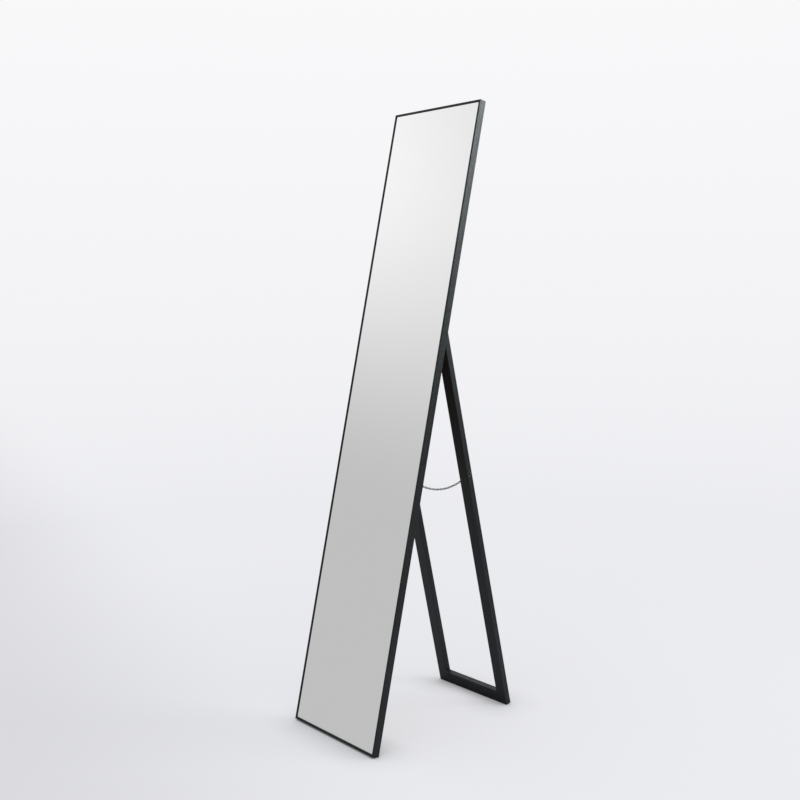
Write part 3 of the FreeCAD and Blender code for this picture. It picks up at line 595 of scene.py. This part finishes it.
def strung(loop, middles, ways, standing):
    """Copies of a loop along the chain, each lying flat across its plane or standing in it.

    A copy's point (x, y, z) goes to middle + x * way + y * width + z * (way cross width), and
    the width is across the chain's plane for a flat copy and in that plane for a standing one.
    """
    points, faces = loop
    across = np.array((1.0, 0.0, 0.0))
    upward = np.cross(across, ways)
    width = np.where(standing[:, None], upward, -across)
    basis = np.stack([ways, width, np.cross(ways, width)], axis=1)
    placed = middles[:, None, :] + np.einsum("pk,nkj->npj", points, basis)
    first = np.arange(len(middles))[:, None, None] * len(points)
    return placed.reshape(-1, 3), (faces[None] + first).reshape(-1, 4)


def wire_piece(node, body, finish, points, faces):
    """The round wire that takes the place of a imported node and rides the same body."""
    mesh = bpy.data.meshes.new("round_" + node)
    mesh.from_pydata(points.tolist(), [], faces.tolist())
    mesh.shade_smooth()
    mesh.materials.append(finish)
    piece = bpy.data.objects.new("round_" + node, mesh)
    bpy.context.scene.collection.objects.link(piece)
    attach(piece, body)
    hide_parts(node)


# The slope of a chain that hangs still has a tangent that grows evenly along the chain. How
# fast it grows follows from the distance between the screws, read off a table of tightnesses.
start = np.array(joints["chain_frame_end_swing"]["pos_m"])
end = np.array(joints["chain_stand_end_swing"]["pos_m"])
steps = np.concatenate([[REACH], np.full(LINK_COUNT, LINK_PITCH), [REACH]])
from_lowest = np.cumsum(steps) - steps / 2 - steps.sum() / 2
tightnesses = np.geomspace(*TIGHTNESSES, TIGHTNESS_STEPS) * steps.sum()
spans = (steps * np.cos(np.arctan(from_lowest / tightnesses[:, None]))).sum(axis=1)
tightness = np.interp(np.hypot(*(end - start)[1:]), spans, tightnesses)
slopes = np.arctan(from_lowest / tightness) + np.arctan2(end[2] - start[2], end[1] - start[1])
ways = np.stack([0 * slopes, np.cos(slopes), np.sin(slopes)], axis=1)
middles = start + np.cumsum(steps[:, None] * ways, axis=0) - steps[:, None] * ways / 2
standing = np.arange(LINK_COUNT + 2) % 2 == 0

half = np.linspace(-np.pi / 2, np.pi / 2, BEND_STEPS + 1)
straight = (LINK_PITCH + LINK_PLAY) / 2 + PACKED_WIRE - LINK_BEND
link = wire_loop(np.concatenate([half, half + np.pi]),
                 np.repeat([straight, -straight], BEND_STEPS + 1), LINK_BEND, LINK_WIRE)
circle = np.arange(RING_STEPS) * 2 * np.pi / RING_STEPS
ring = wire_loop(circle, 0 * circle, RING_BEND, RING_WIRE)
for node, body, first, last in CHAIN_RUNS:
    run = slice(first, last + 1)
    wire_piece(node, body, chain_steel, *strung(link, middles[run], ways[run], standing[run]))
for node, body, middle, at_end in (
        ("frame_chain_ring", "chain_frame_end", start + RING_SHIFT * ways[0], slice(0, 1)),
        ("stand_chain_ring", "chain_stand_end", end - RING_SHIFT * ways[-1],
         slice(LINK_COUNT + 1, LINK_COUNT + 2))):
    wire_piece(node, body, ring_steel,
               *strung(ring, middle[None], ways[at_end], standing[at_end]))
